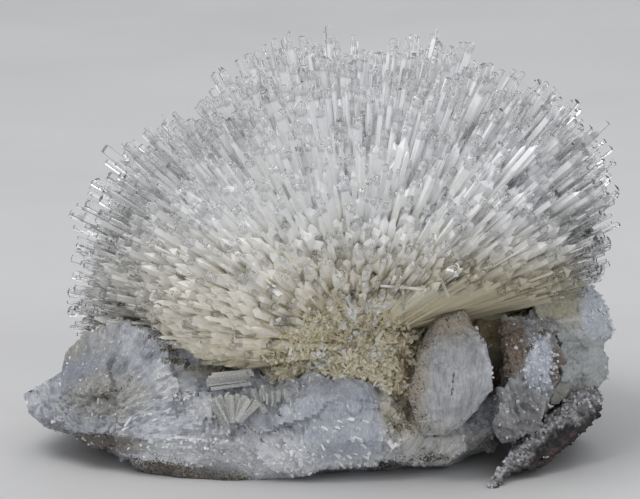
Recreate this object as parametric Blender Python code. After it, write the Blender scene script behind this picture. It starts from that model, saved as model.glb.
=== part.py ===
"""A natrolite specimen: a dome of needle crystals that radiate from one root, on a
broken plate of white fibrous zeolite with three broken sheaves, a druse of small
crystals in front of the root, a strip of dark host rock, and six loose needles.

Lengths are in millimetres in this file and are written to the meshes in metres.
+X is the viewer's right, +Y is away from the viewer and +Z is up. The specimen rests
on the flat underside of the plate, at Z = 0.
"""

import bisect
import math
import random

import bmesh
import bpy
from mathutils import Matrix, Vector, noise

MM = 0.001

# Driving dimensions, in millimetres and degrees
ROOT = Vector((6.4, 0.6, 17.3))  # the point that all the needles radiate from
TIP_RADIUS = 52.3  # from the root to the tips of the long crystals
BODY_SHARE = 0.925  # where the crystals stand side by side, as a share of TIP_RADIUS
ROOT_RADIUS = 7.0  # of the foot of the dome
PROUD_CRYSTALS = 150  # crystals thick and long enough to stand out of the dome
GAP = 0.35  # left between touching pieces
FRONT_TILT = 12.0  # the front view is seen from this far above the horizon
FRONT_UNIT = 0.17  # one unit of the front view's drawing grid
FRONT_MIDDLE = 319.5  # the grid's column at X = 0
FRONT_LEVEL = 345.0  # the grid's row through ROOT
CENTRE = Vector((0.3, 4.6, 0.0))  # the middle of the finished specimen as drawn here

# The lowest needles, as an elevation for each compass direction about the root:
# 0 is right, 90 is back, 180 is left and 270 is the front
LOWEST_NEEDLES = {
    0: 15, 30: 12, 60: 9, 90: 8, 120: 8, 150: 6, 170: 4, 180: 5, 188: 10, 198: 12,
    208: 9, 218: 3, 230: 3, 242: 8, 256: 20, 270: 25, 290: 26, 310: 24, 330: 19, 345: 16,
}
# How long the lowest needles are, as a share of the length of those well above them
LOWEST_SHARE = {
    0: 0.80, 20: 0.88, 60: 0.95, 90: 0.94, 120: 0.94, 160: 0.97, 185: 0.95, 205: 0.84,
    220: 0.68, 235: 0.62, 250: 0.66, 270: 0.74, 290: 0.78, 310: 0.80, 335: 0.80,
}

# The dome's outline in the front view, as a share of TIP_RADIUS for each angle about
# ROOT: 0 is right and 90 is up
OUTLINE_SHARE = {
    0: 0.98, 22: 1.01, 35: 1.035, 50: 1.07, 63: 1.03, 74: 1.045, 88: 1.01, 105: 1.045,
    125: 0.99, 142: 1.01, 160: 0.98, 180: 0.955, 270: 0.96,
}

# The white plate, as rings about the root's upright axis. Each row is a compass
# direction, then (radius, height) of the foot, the underside's bulge, the widest
# line, the rim, the shoulder and the seat of the dome.
PLATE_RINGS = {
    0: ((19, 0), (26, 4.0), (33, 10.0), (32, 13.8), (24, 15.8), (9, 15.4)),
    25: ((21, 0), (29, 3.5), (35, 9.0), (33, 13.8), (26, 15.8), (9, 15.4)),
    50: ((25, 0), (32, 3.4), (37, 8.4), (34, 13.4), (27, 15.6), (9, 15.4)),
    75: ((28, 0), (33, 3.0), (36, 7.4), (34, 12.4), (27, 15.3), (9, 15.4)),
    100: ((27, 0), (34, 3.4), (39, 7.8), (36, 13.4), (28, 16.0), (9, 15.4)),
    125: ((30, 0), (36, 3.0), (41, 8.6), (38, 14.0), (30, 16.4), (9, 15.4)),
    150: ((32, 0), (41, 3.2), (48, 9.0), (43, 14.6), (34, 16.8), (9, 15.4)),
    168: ((33, 0), (46, 3.6), (52.5, 8.8), (47.5, 14.2), (41, 17.2), (9, 15.4)),
    179: ((35, 0), (50, 4.2), (56.4, 8.8), (50.4, 14.2), (45.5, 18.0), (9, 15.4)),
    186: ((37, 0), (52.6, 4.4), (58.4, 8.8), (52.4, 14.4), (48.4, 20.2), (9, 15.4)),
    192: ((38, 0), (51.4, 3.8), (56.6, 7.8), (50.0, 15.8), (43.4, 23.6), (9, 15.4)),
    199: ((39, 0), (49.0, 3.4), (53.0, 7.4), (46.4, 16.2), (39.2, 24.0), (9, 15.4)),
    206: ((39.6, 0), (46.0, 2.8), (48.6, 7.0), (42.6, 16.0), (36.2, 22.6), (9, 15.4)),
    215: ((38.6, 0), (42.0, 1.8), (43.6, 7.0), (38.4, 15.0), (32.5, 20.0), (9, 15.4)),
    225: ((35.6, 0), (37.4, 1.6), (38.4, 7.0), (34.5, 13.4), (28.5, 17.2), (9, 15.4)),
    235: ((31.5, 0), (33.0, 1.6), (34.2, 7.0), (31.5, 13.4), (26.5, 16.0), (9, 15.4)),
    247: ((23.0, 0), (29.4, 2.0), (30.8, 7.0), (29.6, 14.4), (25.5, 17.2), (9, 15.4)),
    268: ((15.5, 0), (27.4, 3.4), (29.6, 7.0), (28.4, 14.8), (24.0, 17.7), (9, 15.4)),
    284: ((15.5, 0), (27.6, 3.4), (29.0, 7.2), (27.0, 12.3), (22.5, 15.2), (9, 15.4)),
    300: ((16.5, 0), (27.6, 3.4), (29.6, 6.5), (25.5, 10.8), (20.0, 13.8), (9, 15.4)),
    318: ((20.0, 0), (27.0, 2.8), (30.0, 7.0), (27.0, 11.4), (20.5, 14.2), (9, 15.4)),
    338: ((20.0, 0), (26.0, 3.8), (31.0, 9.3), (29.5, 12.8), (22.0, 15.2), (9, 15.4)),
}

# Broken blocks, as convex lumps. A corner is (column, row) in the front view's grid
# and its depth: millimetres along Y
FRONT_SHEAF = [
    [(405, 398, -27.2), (412, 360, -26.2), (424, 328, -24.4), (440, 311, -23.0), (456, 307, -22.4),
     (470, 317, -23.0), (484, 342, -25.0), (490, 366, -26.4), (488, 388, -27.0), (466, 415, -28.4),
     (440, 434, -29.2), (416, 428, -29.2), (446, 352, -28.2), (452, 385, -30.0), (430, 400, -29.8),
     (412, 392, -17.0), (432, 330, -15.0), (456, 318, -14.4), (480, 350, -15.0), (484, 392, -17.0),
     (450, 430, -19.0), (420, 425, -19.0)],
]
RIGHT_SHEAF = [
    [(496, 332, -19.0), (503, 318, -17.6), (530, 312, -15.0), (548, 324, -14.6), (561, 346, -15.0),
     (557, 372, -17.6), (546, 396, -19.4), (520, 402, -22.4), (508, 384, -22.8), (498, 352, -21.4),
     (520, 345, -22.6), (500, 325, -8.0), (548, 330, -6.0), (552, 385, -8.0), (505, 390, -10.0)],
    [(496, 384, -22.4), (515, 376, -22.6), (545, 392, -19.4), (541, 420, -20.2), (524, 434, -22.6),
     (500, 440, -25.0), (488, 415, -25.4), (500, 392, -11.0), (540, 400, -9.0), (530, 425, -12.0),
     (495, 425, -14.0)],
]
OUTER_SHEAF = [
    [(526, 284, -15.0), (527, 306, -16.0), (536, 325, -15.4), (562, 283, -9.0), (592, 286, 1.0),
     (604, 298, -2.0), (612, 320, -5.0), (613, 333, -7.0), (604, 345, -9.0), (552, 346, -12.5),
     (530, 292, 8.0), (592, 296, 9.0), (608, 325, 7.0), (595, 345, 5.0), (540, 345, 6.0)],
    [(552, 342, -12.0), (600, 342, -8.6), (601, 356, -8.2), (609, 366, -7.0), (607, 376, -7.0),
     (596, 389, -7.6), (563, 402, -11.6), (546, 405, -13.4), (550, 350, 4.0), (600, 350, 4.0),
     (600, 380, 2.0), (560, 396, 0.0)],
]
HOST_ROCK = [
    [(588, 387, -11.0), (600, 390, -11.4), (600, 406, -13.0), (580, 430, -16.6), (556, 450, -19.8),
     (538, 424, -17.0), (560, 403, -13.6), (590, 390, 8.0), (598, 402, 7.0), (560, 440, 6.0),
     (545, 425, 6.0), (566, 406, 7.0)],
    [(564, 444, -19.0), (546, 458, -21.6), (520, 468, -25.4), (500, 472, -27.4), (503, 450, -23.6),
     (528, 430, -18.6), (552, 414, -15.6), (560, 440, 2.0), (530, 452, -4.0), (512, 452, -6.0),
     (550, 420, 2.0)],
    [(508, 468, -26.6), (504, 450, -24.2), (490, 473, -29.4), (479, 481, -31.0), (478, 489, -31.6),
     (488, 486, -31.0), (500, 478, -29.0), (512, 460, -20.0), (500, 470, -20.0)],
]

# The part of the plate that rises to the spray between and behind the sheaves
PLATE_HUMP = [
    (464, 302, -7.0), (500, 292, -9.0), (534, 294, -8.0), (540, 330, -8.0), (512, 372, -12.0),
    (494, 392, -14.0), (472, 392, -16.0), (466, 340, -12.0), (464, 300, 12.0), (536, 292, 12.0),
    (545, 390, 10.0), (466, 390, 10.0),
]

# The druse of small crystals, as mounds: centre and half sizes
DRUSE_MOUNDS = [
    ((4.4, -12.6, 17.4), (10.8, 10.0, 12.0)),
    ((-3.6, -14.6, 15.0), (7.0, 7.8, 9.0)),
    ((11.6, -15.6, 16.4), (6.0, 7.2, 11.0)),
]

# The loose needles: both ends, in the front view's grid with depth, and thickness
LOOSE_NEEDLES = [
    ((378, 284.5, -33.5), (423, 288, -32.3), 0.42),
    ((400, 291, -32.8), (401.5, 324, -19.5), 0.42),
    ((359, 294, -34.2), (374, 329, -21.0), 0.36),
    ((436.5, 278, -32.6), (444.5, 296, -30.4), 0.36),
    ((430, 306, -20.6), (461, 288, -30.0), 0.32),
    ((283.5, 294, -35.0), (275.5, 307, -34.4), 0.34),
    ((335, 304, -32.6), (318, 327, -23.9), 0.26),
]

COLOURS = {
    "natrolite_spray": ((0.86, 0.88, 0.90), 0.12),
    "matrix": ((0.68, 0.70, 0.75), 0.55),
    "front_sheaf": ((0.72, 0.75, 0.80), 0.45),
    "right_sheaf": ((0.64, 0.65, 0.66), 0.60),
    "outer_sheaf": ((0.78, 0.80, 0.74), 0.45),
    "druse": ((0.80, 0.77, 0.66), 0.35),
    "host_rock": ((0.20, 0.17, 0.17), 0.85),
    "loose_needle": ((0.92, 0.92, 0.86), 0.10),
}


def clear_scene():
    for obj in list(bpy.data.objects):
        bpy.data.objects.remove(obj, do_unlink=True)


def material(name):
    colour, roughness = COLOURS["loose_needle" if name.startswith("loose") else name]
    made = bpy.data.materials.get(name) or bpy.data.materials.new(name)
    made.use_nodes = True
    shader = made.node_tree.nodes["Principled BSDF"]
    shader.inputs["Base Color"].default_value = (*colour, 1.0)
    shader.inputs["Roughness"].default_value = roughness
    shader.inputs["Metallic"].default_value = 0.0
    made.diffuse_color = (*colour, 1.0)
    return made


def object_of(name, bm):
    """An object that holds bm, which is in millimetres."""
    mesh = bpy.data.meshes.new(name)
    bmesh.ops.recalc_face_normals(bm, faces=bm.faces)
    bm.to_mesh(mesh)
    bm.free()
    mesh.transform(Matrix.Scale(MM, 4))
    obj = bpy.data.objects.new(name, mesh)
    bpy.context.scene.collection.objects.link(obj)
    if name in COLOURS or name.startswith("loose"):
        mesh.materials.append(material(name))
    return obj


def from_front(column, row, depth):
    """The point seen at this column and row of the front view, at this depth along Y."""
    tilt = math.radians(FRONT_TILT)
    up = (FRONT_LEVEL - row) * FRONT_UNIT
    height = ROOT.z + (up - (depth - ROOT.y) * math.sin(tilt)) / math.cos(tilt)
    return Vector(((column - FRONT_MIDDLE) * FRONT_UNIT, depth, height))


def round_the_compass(table, angle):
    """A smooth value from a table of compass direction to number or numbers."""
    keys = sorted(table)
    n = len(keys)
    angle %= 360
    i = bisect.bisect_right(keys, angle) - 1
    picked = [(i + k) % n for k in (-1, 0, 1, 2)]
    start, end = keys[picked[1]], keys[picked[2]]
    span = (end - start) % 360
    t = ((angle - start) % 360) / span

    def smooth(a, b, c, d):
        low, high = min(b, c) - 1.0, max(b, c) + 1.0
        value = b + 0.5 * t * (c - a + t * (2 * a - 5 * b + 4 * c - d + t * (3 * (b - c) + d - a)))
        return min(max(value, low), high)

    rows = [table[keys[k]] for k in picked]
    if isinstance(rows[0], tuple):
        return [
            tuple(smooth(*(row[ring][axis] for row in rows)) for axis in (0, 1))
            for ring in range(len(rows[0]))
        ]
    return smooth(*rows)


def loft(rings, bottom, top):
    """A closed surface through rings of points, from its lowest point to its highest."""
    bm = bmesh.new()
    made = [[bm.verts.new(p) for p in ring] for ring in rings]
    n = len(made[0])
    low, high = bm.verts.new(bottom), bm.verts.new(top)
    for i in range(n):
        j = (i + 1) % n
        bm.faces.new((low, made[0][j], made[0][i]))
        bm.faces.new((high, made[-1][i], made[-1][j]))
        for a, b in zip(made, made[1:]):
            bm.faces.new((a[i], a[j], b[j], b[i]))
    return bm


def direction(compass, elevation):
    a, e = math.radians(compass), math.radians(elevation)
    return Vector((math.cos(a) * math.cos(e), math.sin(a) * math.cos(e), math.sin(e)))


def envelope(d):
    """How far the tips of the long crystals reach in direction d."""
    swell = noise.noise(d * 1.7 + Vector((3.1, 7.7, 1.3)))
    clump = noise.noise(d * 4.3 + Vector((9.2, 0.4, 5.5)))
    tilt = math.radians(FRONT_TILT)
    across = d.x, d.z * math.cos(tilt) + d.y * math.sin(tilt)
    on_outline = round_the_compass(OUTLINE_SHARE, math.degrees(math.atan2(across[1], across[0])))
    shorter = 0.04 * max(0.0, d.y) - (on_outline - 1.0) * math.hypot(*across) ** 3
    compass = math.degrees(math.atan2(d.y, d.x))
    above = math.degrees(math.asin(d.z)) - round_the_compass(LOWEST_NEEDLES, compass)
    near_lowest = max(0.0, 1.0 - max(above, 0.0) / 26.0) ** 1.4
    shorter += near_lowest * (1.0 - round_the_compass(LOWEST_SHARE, compass))
    return TIP_RADIUS * (1.0 + 0.030 * swell + 0.022 * clump - shorter)


def spread_directions(count, rng, lowest, spacing):
    """Directions spread over the dome, none closer than spacing degrees to another."""
    found = []
    limit = math.cos(math.radians(spacing))
    tries = 0
    while len(found) < count and tries < 60000:
        tries += 1
        z = rng.uniform(0.1, 1.0)
        a = rng.uniform(0.0, 360.0)
        e = math.degrees(math.asin(z))
        if e < round_the_compass(LOWEST_NEEDLES, a) + lowest:
            continue
        d = direction(a, e)
        if all(d.dot(o) < limit for o in found):
            found.append(d)
    return found


def proud_crystals():
    """(direction, length, thickness, turn) of each crystal that stands out of the dome."""
    rng = random.Random(4811)
    made = []
    for d in spread_directions(PROUD_CRYSTALS, rng, 2.5, 5.6):
        length = envelope(d) * rng.uniform(0.965, 1.045)
        made.append((d, length, rng.uniform(1.0, 1.75), rng.uniform(0.0, 90.0)))
    return made


def prism(bm, start, end, thickness, turn, point):
    """A square crystal with a low four-sided point, added to bm."""
    axis = (end - start).normalized()
    side = axis.orthogonal().normalized()
    side.rotate(Matrix.Rotation(math.radians(turn), 3, axis))
    other = axis.cross(side)
    h = thickness / 2
    corners = [side * h + other * h, other * h - side * h, -side * h - other * h, side * h - other * h]
    foot = [bm.verts.new(start + c) for c in corners]
    head = [bm.verts.new(end - axis * point + c) for c in corners]
    tip = bm.verts.new(end)
    bm.faces.new(foot[::-1])
    for i in range(4):
        j = (i + 1) % 4
        bm.faces.new((foot[i], foot[j], head[j], head[i]))
        bm.faces.new((head[i], head[j], tip))


def combined(obj, others, operation):
    """obj's mesh after the Boolean with each of others, which are then removed."""
    for other in others:
        cut = obj.modifiers.new("cut", "BOOLEAN")
        cut.operation = operation
        cut.solver = "EXACT"
        cut.object = other
        cut.use_self = True
    bpy.context.view_layer.update()
    graph = bpy.context.evaluated_depsgraph_get()
    mesh = bpy.data.meshes.new_from_object(obj.evaluated_get(graph))
    obj.modifiers.clear()
    old, obj.data = obj.data, mesh
    bpy.data.meshes.remove(old)
    for other in others:
        bpy.data.objects.remove(other, do_unlink=True)
    keep_largest(obj)
    return obj


def keep_largest(obj):
    """Drops the crumbs that a cut leaves beside the piece."""
    bm = bmesh.new()
    bm.from_mesh(obj.data)
    bmesh.ops.remove_doubles(bm, verts=bm.verts, dist=0.00001)
    bmesh.ops.dissolve_degenerate(bm, edges=bm.edges, dist=0.00001)
    left, groups = set(bm.faces), []
    while left:
        group, todo = set(), [left.pop()]
        while todo:
            face = todo.pop()
            group.add(face)
            for e in face.edges:
                for other in e.link_faces:
                    if other in left:
                        left.remove(other)
                        todo.append(other)
        groups.append(group)
    groups.sort(key=len)
    for group in groups[:-1]:
        bmesh.ops.delete(bm, geom=list(group), context="FACES")
    bmesh.ops.triangulate(bm, faces=bm.faces)
    bm.to_mesh(obj.data)
    bm.free()


def swollen(obj, by):
    """A copy of obj with its surface moved out, to leave room around it."""
    copy = bpy.data.objects.new(obj.name + "_room", obj.data.copy())
    bpy.context.scene.collection.objects.link(copy)
    bm = bmesh.new()
    bm.from_mesh(copy.data)
    bm.normal_update()
    moved = [(v, v.co + v.normal * by * MM * v.calc_shell_factor()) for v in bm.verts]
    for v, co in moved:
        v.co = co
    bm.to_mesh(copy.data)
    bm.free()
    return copy


def roughened(obj, size, amount, grain, faces, seed):
    """Broken-stone relief: an even mesh, moved by noise, then thinned to a face count."""
    remesh = obj.modifiers.new("even", "REMESH")
    remesh.mode = "VOXEL"
    remesh.voxel_size = size * MM
    remesh.adaptivity = 0.0
    bpy.context.view_layer.update()
    graph = bpy.context.evaluated_depsgraph_get()
    mesh = bpy.data.meshes.new_from_object(obj.evaluated_get(graph))
    obj.modifiers.clear()
    bm = bmesh.new()
    bm.from_mesh(mesh)
    bm.normal_update()
    shift = Vector((seed * 3.7, seed * 1.9, seed * 5.3))
    moved = []
    for v in bm.verts:
        p = v.co / MM
        big = noise.noise(p / grain + shift)
        step = noise.cell(p / (grain * 0.7) + shift)
        moved.append((v, v.co + v.normal * MM * amount * (0.75 * big + 0.35 * (step - 0.5))))
    for v, co in moved:
        v.co = co
    bm.to_mesh(mesh)
    bm.free()
    materials = list(obj.data.materials)
    obj.data = mesh
    obj.data.materials.clear()
    for m in materials:
        obj.data.materials.append(m)
    thin = obj.modifiers.new("thin", "DECIMATE")
    thin.ratio = min(1.0, faces / (2.0 * len(mesh.polygons)))
    thin.use_collapse_triangulate = True
    bpy.context.view_layer.update()
    graph = bpy.context.evaluated_depsgraph_get()
    obj.data = bpy.data.meshes.new_from_object(obj.evaluated_get(graph))
    obj.modifiers.clear()
    keep_largest(obj)
    return obj


def cut_flat(obj, height):
    """Cuts obj off flat at this height and closes the cut."""
    bm = bmesh.new()
    bm.from_mesh(obj.data)
    geom = bm.verts[:] + bm.edges[:] + bm.faces[:]
    done = bmesh.ops.bisect_plane(
        bm, geom=geom, dist=1e-7, plane_co=(0, 0, height * MM), plane_no=(0, 0, -1),
        clear_outer=True, clear_inner=False,
    )
    rim = [e for e in done["geom_cut"] if isinstance(e, bmesh.types.BMEdge)]
    bmesh.ops.holes_fill(bm, edges=rim, sides=0)
    bmesh.ops.triangulate(bm, faces=bm.faces)
    bm.to_mesh(obj.data)
    bm.free()


def lumps(name, blocks):
    """One object from overlapping convex blocks."""
    made = []
    for k, block in enumerate(blocks):
        bm = bmesh.new()
        for corner in block:
            bm.verts.new(from_front(*corner))
        hull = bmesh.ops.convex_hull(bm, input=bm.verts)
        extra = [g for g in hull["geom_interior"] if isinstance(g, bmesh.types.BMVert)]
        bmesh.ops.delete(bm, geom=extra, context="VERTS")
        made.append(object_of(name if k == 0 else f"{name}_{k}", bm))
    return combined(made[0], made[1:], "UNION") if made[1:] else made[0]


def build_plate():
    steps = 72
    rings = [[] for _ in range(6)]
    for i in range(steps):
        compass = i * 360 / steps
        outward = direction(compass, 0)
        for ring, (radius, height) in zip(rings, round_the_compass(PLATE_RINGS, compass)):
            at = Vector((ROOT.x, ROOT.y, 0)) + outward * radius
            at.z = max(height, 0.0) - (1.6 if ring is rings[0] else 0.0)
            ring.append(at)
    plate = object_of("matrix", loft(rings, (ROOT.x, ROOT.y, -1.6), (ROOT.x, ROOT.y, 16.6)))
    combined(plate, [lumps("hump", [PLATE_HUMP])], "UNION")
    roughened(plate, 1.2, 1.5, 6.0, 1480, 1)
    cut_flat(plate, 0.0)
    keep_largest(plate)
    return plate


def build_druse():
    made = []
    for k, (centre, half) in enumerate(DRUSE_MOUNDS):
        bm = bmesh.new()
        bmesh.ops.create_icosphere(bm, subdivisions=3, radius=1.0)
        for v in bm.verts:
            v.co = Vector(centre) + Vector(c * h for c, h in zip(v.co, half))
        made.append(object_of("druse" if k == 0 else f"druse_{k}", bm))
    druse = combined(made[0], made[1:], "UNION")
    return roughened(druse, 0.9, 1.3, 2.2, 560, 5)


def build_dome():
    """The closely packed part of the spray, from its foot to the crystals' shoulders."""
    around, up = 48, 10
    rings = [[], []]
    rings += [[] for _ in range(up)]
    for i in range(around):
        compass = i * 360 / around
        lowest = round_the_compass(LOWEST_NEEDLES, compass)
        outward = direction(compass, 0)
        foot = Vector((ROOT.x, ROOT.y, ROOT.z)) + outward * ROOT_RADIUS
        rings[0].append(foot - Vector((0, 0, 1.2)))
        rings[1].append(ROOT + direction(compass, lowest) * (ROOT_RADIUS + 7.0))
        for k in range(up):
            e = lowest + (90 - lowest) * k / up
            d = direction(compass + (k % 2) * 180 / around, e)
            bristle = 1.0 + 0.028 * noise.noise(d * 9.0)
            rings[k + 2].append(ROOT + d * envelope(d) * BODY_SHARE * bristle)
    top = ROOT + Vector((0, 0, 1)) * TIP_RADIUS * BODY_SHARE
    return object_of("natrolite_spray", loft(rings, ROOT - Vector((0, 0, 1.2)), top))


def build_crystals():
    """The crystals that stand out of the dome, each with its foot inside it."""
    bm = bmesh.new()
    for d, length, thickness, turn in proud_crystals():
        start = ROOT + d * (envelope(d) * BODY_SHARE - 3.2)
        prism(bm, start, ROOT + d * length, thickness, turn, 0.45)
    return object_of("proud_crystals", bm)


def build_loose_needle(number, a, b, thickness):
    bm = bmesh.new()
    prism(bm, from_front(*a), from_front(*b), thickness, 20.0 * number, 0.3)
    return object_of(f"loose_needle_{number}", bm)


def main():
    clear_scene()
    plate = build_plate()

    front = roughened(lumps("front_sheaf", FRONT_SHEAF), 0.8, 0.8, 3.5, 440, 2)
    combined(front, [swollen(plate, GAP)], "DIFFERENCE")
    right = roughened(lumps("right_sheaf", RIGHT_SHEAF), 0.8, 0.9, 3.5, 440, 3)
    combined(right, [swollen(plate, GAP), swollen(front, GAP)], "DIFFERENCE")
    outer = roughened(lumps("outer_sheaf", OUTER_SHEAF), 0.8, 0.9, 4.0, 440, 4)
    combined(outer, [swollen(plate, GAP), swollen(right, GAP)], "DIFFERENCE")
    rock = roughened(lumps("host_rock", HOST_ROCK), 0.8, 0.9, 2.6, 440, 6)
    cut_flat(rock, 0.1)
    combined(rock, [swollen(piece, GAP) for piece in (plate, outer, right, front)], "DIFFERENCE")
    druse = build_druse()
    combined(druse, [swollen(plate, GAP), swollen(front, GAP)], "DIFFERENCE")

    spray = combined(build_dome(), [build_crystals()], "UNION")
    combined(spray, [swollen(piece, GAP) for piece in (plate, druse, front, right, outer)], "DIFFERENCE")

    for number, (a, b, thickness) in enumerate(LOOSE_NEEDLES, 1):
        build_loose_needle(number, a, b, thickness)

    for obj in bpy.context.scene.objects:
        obj.data.transform(Matrix.Translation(-CENTRE * MM))


main()
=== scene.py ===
"""The look of a natrolite specimen: a dome of several thousand clear needle crystals with
milky roots, on a broken plate of white fibrous zeolite, with three broken sheaves, a
druse of small cream crystals, a strip of host rock and seven loose needles.

Lengths are in millimetres in this file, in the frame the solids were drawn in, and are
written to the meshes in metres, moved by -CENTRE.
"""

import bisect
import math

import bpy
import numpy as np
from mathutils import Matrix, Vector, noise
from mathutils.bvhtree import BVHTree


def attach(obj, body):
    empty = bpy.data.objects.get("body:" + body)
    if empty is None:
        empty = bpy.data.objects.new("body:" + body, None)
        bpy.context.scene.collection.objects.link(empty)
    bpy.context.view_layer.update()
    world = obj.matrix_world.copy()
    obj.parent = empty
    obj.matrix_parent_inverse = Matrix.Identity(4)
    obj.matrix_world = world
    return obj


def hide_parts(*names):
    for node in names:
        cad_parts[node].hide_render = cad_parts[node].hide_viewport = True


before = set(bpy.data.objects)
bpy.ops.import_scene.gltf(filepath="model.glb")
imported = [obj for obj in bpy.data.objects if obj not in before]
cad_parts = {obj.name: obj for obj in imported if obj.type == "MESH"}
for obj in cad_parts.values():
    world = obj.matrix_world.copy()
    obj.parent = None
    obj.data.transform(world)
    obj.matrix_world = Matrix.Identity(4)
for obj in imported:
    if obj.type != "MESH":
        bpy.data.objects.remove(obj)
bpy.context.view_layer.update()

MM = 0.001
ROOT = Vector((6.4, 0.6, 17.3))  # the point that all the needles radiate from
CENTRE = Vector((0.3, 4.6, 0.0))
TIP_RADIUS = 52.3
BODY_SHARE = 0.925
FRONT_TILT = 12.0
FRONT_UNIT = 0.17
FRONT_MIDDLE = 319.5
FRONT_LEVEL = 345.0

LOWEST_NEEDLES = {
    0: 15, 30: 12, 60: 9, 90: 8, 120: 8, 150: 6, 170: 4, 180: 5, 188: 10, 198: 12,
    208: 9, 218: 3, 230: 3, 242: 8, 256: 20, 270: 25, 290: 26, 310: 24, 330: 19, 345: 16,
}
LOWEST_SHARE = {
    0: 0.80, 20: 0.88, 60: 0.95, 90: 0.94, 120: 0.94, 160: 0.97, 185: 0.95, 205: 0.84,
    220: 0.68, 235: 0.62, 250: 0.66, 270: 0.74, 290: 0.78, 310: 0.80, 335: 0.80,
}
OUTLINE_SHARE = {
    0: 1.0, 22: 1.03, 35: 1.045, 50: 1.07, 63: 1.03, 74: 1.045, 88: 1.01, 105: 1.045,
    125: 0.99, 142: 1.015, 160: 1.0, 180: 0.98, 270: 0.96,
}


# ---------------------------------------------------------------- shape helpers


def round_the_compass(table, angle):
    """A smooth value from a table of compass direction to number."""
    keys = sorted(table)
    n = len(keys)
    angle %= 360
    i = bisect.bisect_right(keys, angle) - 1
    k0, k1, k2, k3 = (keys[(i + k) % n] for k in (-1, 0, 1, 2))
    t = ((angle - k1) % 360) / ((k2 - k1) % 360)
    a, b, c, d = table[k0], table[k1], table[k2], table[k3]
    value = b + 0.5 * t * (c - a + t * (2 * a - 5 * b + 4 * c - d + t * (3 * (b - c) + d - a)))
    return min(max(value, min(b, c) - 1.0), max(b, c) + 1.0)


def curve_of(table):
    curve = [round_the_compass(table, k * 0.5) for k in range(720)]
    return np.array(curve + curve[:1])


LOWEST_CURVE = curve_of(LOWEST_NEEDLES)
SHARE_CURVE = curve_of(LOWEST_SHARE)
OUTLINE_CURVE = curve_of(OUTLINE_SHARE)


def on_curve(curve, degrees):
    return np.interp(np.mod(degrees, 360.0) * 2.0, np.arange(721), curve)


def compass_of(d):
    return np.degrees(np.arctan2(d[:, 1], d[:, 0]))


def above_lowest(d):
    """Degrees from the lowest needles of each direction's compass bearing up to it."""
    return np.degrees(np.arcsin(np.clip(d[:, 2], -1, 1))) - on_curve(LOWEST_CURVE, compass_of(d))


def envelope(d):
    """How far the tips of the long crystals reach in the directions d, an (n, 3) array."""
    swell = np.array([noise.noise(Vector(v) * 1.7 + Vector((3.1, 7.7, 1.3))) for v in d])
    clump = np.array([noise.noise(Vector(v) * 4.3 + Vector((9.2, 0.4, 5.5))) for v in d])
    tilt = math.radians(FRONT_TILT)
    across, rise = d[:, 0], d[:, 2] * math.cos(tilt) + d[:, 1] * math.sin(tilt)
    on_outline = on_curve(OUTLINE_CURVE, np.degrees(np.arctan2(rise, across)))
    shorter = 0.04 * np.maximum(0.0, d[:, 1]) - (on_outline - 1.0) * np.hypot(across, rise) ** 3
    near_lowest = np.maximum(0.0, 1.0 - np.maximum(above_lowest(d), 0.0) / 26.0) ** 1.4
    shorter += near_lowest * (1.0 - on_curve(SHARE_CURVE, compass_of(d)))
    return TIP_RADIUS * (1.0 + 0.030 * swell + 0.022 * clump - shorter)


def direction(compass, elevation):
    a, e = np.radians(compass), np.radians(elevation)
    return np.stack([np.cos(a) * np.cos(e), np.sin(a) * np.cos(e), np.sin(e) + 0 * a], -1)


def unit(v):
    return v / np.maximum(np.linalg.norm(v, axis=-1, keepdims=True), 1e-9)


def from_front(column, row, depth):
    """The point seen at this column and row of the front view, at this depth along Y."""
    tilt = math.radians(FRONT_TILT)
    up = (FRONT_LEVEL - row) * FRONT_UNIT
    height = ROOT.z + (up - (depth - ROOT.y) * math.sin(tilt)) / math.cos(tilt)
    return Vector(((column - FRONT_MIDDLE) * FRONT_UNIT, depth, height))


def to_front(p):
    """Column and row of the front view at which a point, or an array of points, is seen."""
    p = np.asarray(p, float)
    tilt = math.radians(FRONT_TILT)
    up = (p[..., 2] - ROOT.z) * math.cos(tilt) + (p[..., 1] - ROOT.y) * math.sin(tilt)
    return p[..., 0] / FRONT_UNIT + FRONT_MIDDLE, FRONT_LEVEL - up / FRONT_UNIT


def smooth(lo, hi, x):
    t = np.clip((np.asarray(x, float) - lo) / (hi - lo), 0.0, 1.0)
    return t * t * (3 - 2 * t)


def linear(*rgb):
    """Linear colour from 0-255 display values."""
    c = np.asarray(rgb, float) / 255.0
    return np.where(c <= 0.04045, c / 12.92, ((c + 0.055) / 1.055) ** 2.4)


def hashed(c, seed):
    h = (c[:, 0] * 73856093) ^ (c[:, 1] * 19349663) ^ (c[:, 2] * 83492791) ^ (seed * 974634777)
    h = ((h ^ (h >> 13)) & 0x7FFFFFFF) * 1274126177
    return (h ^ (h >> 16)) & 0x7FFFFFFF


GRADIENTS = np.array([
    (1, 1, 0), (-1, 1, 0), (1, -1, 0), (-1, -1, 0), (1, 0, 1), (-1, 0, 1), (1, 0, -1), (-1, 0, -1),
    (0, 1, 1), (0, -1, 1), (0, 1, -1), (0, -1, -1),
], float)


def ripple(p, seed=0):
    """Gradient noise at the points p, about -0.8 to 0.8, with features one unit wide."""
    base = np.floor(p).astype(np.int64)
    f = p - base
    u = f * f * f * (f * (f * 6 - 15) + 10)
    total = np.zeros(len(p))
    for corner in range(8):
        o = np.array((corner & 1, (corner >> 1) & 1, corner >> 2))
        g = GRADIENTS[hashed(base + o, seed) % 12]
        weight = np.prod(np.where(o == 1, u, 1 - u), axis=1)
        total += weight * (g * (f - o)).sum(1)
    return total


def layered(p, scale, seed=0, octaves=3):
    total, size = np.zeros(len(p)), 1.0
    for k in range(octaves):
        total += ripple(p * scale * 2 ** k, seed + k) * size
        size *= 0.55
    return total


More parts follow.
